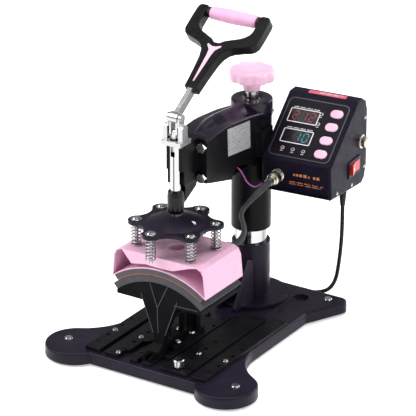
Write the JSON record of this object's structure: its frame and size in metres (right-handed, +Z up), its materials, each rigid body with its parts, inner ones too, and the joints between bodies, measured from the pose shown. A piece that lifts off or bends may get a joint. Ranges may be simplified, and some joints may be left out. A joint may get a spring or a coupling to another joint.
{
  "type": "cap heat press",
  "caption": "Bench cap heat press: swing-type column arm, toggle lever and handle, curved platen pair, control box with mains lead.",
  "frame": {"origin": "middle of the footprint of the press without its cord, on the table the rubber feet stand on", "axes": "+Z up; -Y towards the front, where the curved platens are; +X towards the control box, right as seen from the front"},
  "size_m": [0.3261, 0.4414, 0.4491],
  "materials": {
    "cast_paint": "semi-gloss, violet-black",
    "arm_paint": "semi-gloss black",
    "rail_paint": "fine-texture black",
    "pink_paint": "gloss pink",
    "pink_plastic": "satin pink",
    "pink_foam": "soft grip, pink",
    "box_moulding": "satin, violet-black",
    "cover_moulding": "gloss, violet-black",
    "chrome": "polished",
    "zinc_steel": "bright zinc plated",
    "spring_steel": "polished",
    "brass_nickel": "nickel plated brass",
    "handle_moulding": "satin",
    "foot_rubber": "matt",
    "pad_rubber": "matt grey",
    "heater_rubber": "matt grey",
    "release_cloth": "coated glass cloth",
    "board": "satin",
    "window": "gloss",
    "black_plastic": "satin",
    "red_plastic": "gloss",
    "lead_black": "pvc",
    "lead_sleeve": "fibre sleeve",
    "lead_violet": "pvc"
  },
  "bodies": {
    "base": {"base_casting": "cast_paint", "foot_pads": "foot_rubber", "deck_screws": "zinc_steel", "left_outer_rail": "rail_paint", "left_inner_rail": "rail_paint", "right_inner_rail": "rail_paint", "right_outer_rail": "rail_paint", "stand_plate": "rail_paint", "column_socket": "cast_paint", "post": "chrome", "saddle_stand": "cast_paint", "lower_pad": "pad_rubber", "power_cord": "lead_black", "cord_coil": "lead_black", "cord_tail": "lead_black", "mains_plug": "black_plastic"},
    "arm": {"arm_sleeve": "arm_paint", "arm_box": "arm_paint", "arm_cover": "cover_moulding", "guide_block": "arm_paint", "guide_bolts": "zinc_steel", "toggle_jaw": "zinc_steel", "pivot_pin": "zinc_steel", "box_front": "box_moulding", "box_cover": "box_moulding", "box_screws": "zinc_steel", "panel_lenses": "window", "circuit_board": "board", "heater_socket": "brass_nickel", "heater_plug": "brass_nickel", "fuse_holder": "brass_nickel", "switch_bezel": "black_plastic", "cord_relief": "black_plastic", "ground_lead": "lead_violet", "heater_cable": "lead_sleeve"},
    "knob": {"pressure_knob": "pink_plastic", "pressure_screw": "zinc_steel"},
    "plunger": {"plunger_rod": "chrome", "clevis_pin": "zinc_steel", "plunger_collar": "cast_paint", "plunger_neck": "zinc_steel", "star_plate": "cast_paint", "platen_springs": "spring_steel"},
    "link": {"toggle_link": "zinc_steel"},
    "handle": {"lever_bar": "zinc_steel", "handle_frame": "handle_moulding", "handle_inlay": "pink_plastic", "grip_rod": "black_plastic", "grip_sleeve": "pink_foam"},
    "heat_platen": {"platen_cover": "pink_paint", "heating_element": "heater_rubber", "release_sheet": "release_cloth", "spring_bolts": "zinc_steel", "platen_gland": "brass_nickel"},
    "thumb": {"thumb_screw": "zinc_steel"},
    "rocker": {"power_rocker": "red_plastic"},
    "key_1": {"button_1": "pink_plastic"},
    "key_2": {"button_2": "pink_plastic"},
    "key_3": {"button_3": "pink_plastic"},
    "key_4": {"button_4": "pink_plastic"}
  },
  "joints": [
    {"name": "arm_lift", "type": "slide", "parent": "base", "child": "arm", "axis": [0, 0, 1], "range_m": [0, 0.025], "deforming": ["power_cord"]},
    {"name": "knob_turn", "type": "hinge", "parent": "arm", "child": "knob", "pos_m": [0, 0.097, 0.346], "axis": [0, 0, 1], "range_deg": [0, 3001]},
    {"name": "plunger_slide", "type": "slide", "parent": "arm", "child": "plunger", "axis": [0, 0, 1], "range_m": [0, 0.015], "deforming": ["heater_cable"]},
    {"name": "handle_swing", "type": "hinge", "parent": "arm", "child": "handle", "pos_m": [0, -0.091, 0.3455], "axis": [1, 0, 0], "range_deg": [0, 56.5]},
    {"name": "link_swing", "type": "hinge", "parent": "plunger", "child": "link", "pos_m": [0, -0.091, 0.2996], "axis": [1, 0, 0], "range_deg": [-40.2, 0]},
    {"name": "platen_float", "type": "slide", "parent": "plunger", "child": "heat_platen", "axis": [0, 0, 1], "range_m": [0, 0.005], "stiffness_N_per_m": 6000, "springref_m": -0.01, "deforming": ["platen_springs", "heater_cable"]},
    {"name": "key_1_press", "type": "slide", "parent": "arm", "child": "key_1", "axis": [-0.0629, 0.5985, -0.7986], "range_m": [0, 0.0012], "stiffness_N_per_m": 400, "springref_m": -0.0006},
    {"name": "key_2_press", "type": "slide", "parent": "arm", "child": "key_2", "axis": [-0.0629, 0.5985, -0.7986], "range_m": [0, 0.0012], "stiffness_N_per_m": 400, "springref_m": -0.0006},
    {"name": "key_3_press", "type": "slide", "parent": "arm", "child": "key_3", "axis": [-0.0629, 0.5985, -0.7986], "range_m": [0, 0.0012], "stiffness_N_per_m": 400, "springref_m": -0.0006},
    {"name": "key_4_press", "type": "slide", "parent": "arm", "child": "key_4", "axis": [-0.0629, 0.5985, -0.7986], "range_m": [0, 0.0012], "stiffness_N_per_m": 400, "springref_m": -0.0006},
    {"name": "rocker_tip", "type": "hinge", "parent": "arm", "child": "rocker", "pos_m": [0.12629, 0.15483, 0.2185], "axis": [0, 0, 1], "range_deg": [-9, 0]},
    {"name": "thumb_turn", "type": "hinge", "parent": "base", "child": "thumb", "pos_m": [0.046, -0.156, 0.027], "axis": [0, 0, 1], "continuous": true}
  ],
  "couplings": [
    {"joint": "knob_turn", "follows": "arm_lift", "rad_per_m": 2094.4},
    {"joint": "handle_swing", "follows": "plunger_slide", "rad_per_m": 65.6},
    {"joint": "link_swing", "follows": "plunger_slide", "rad_per_m": -46.6}
  ]
}
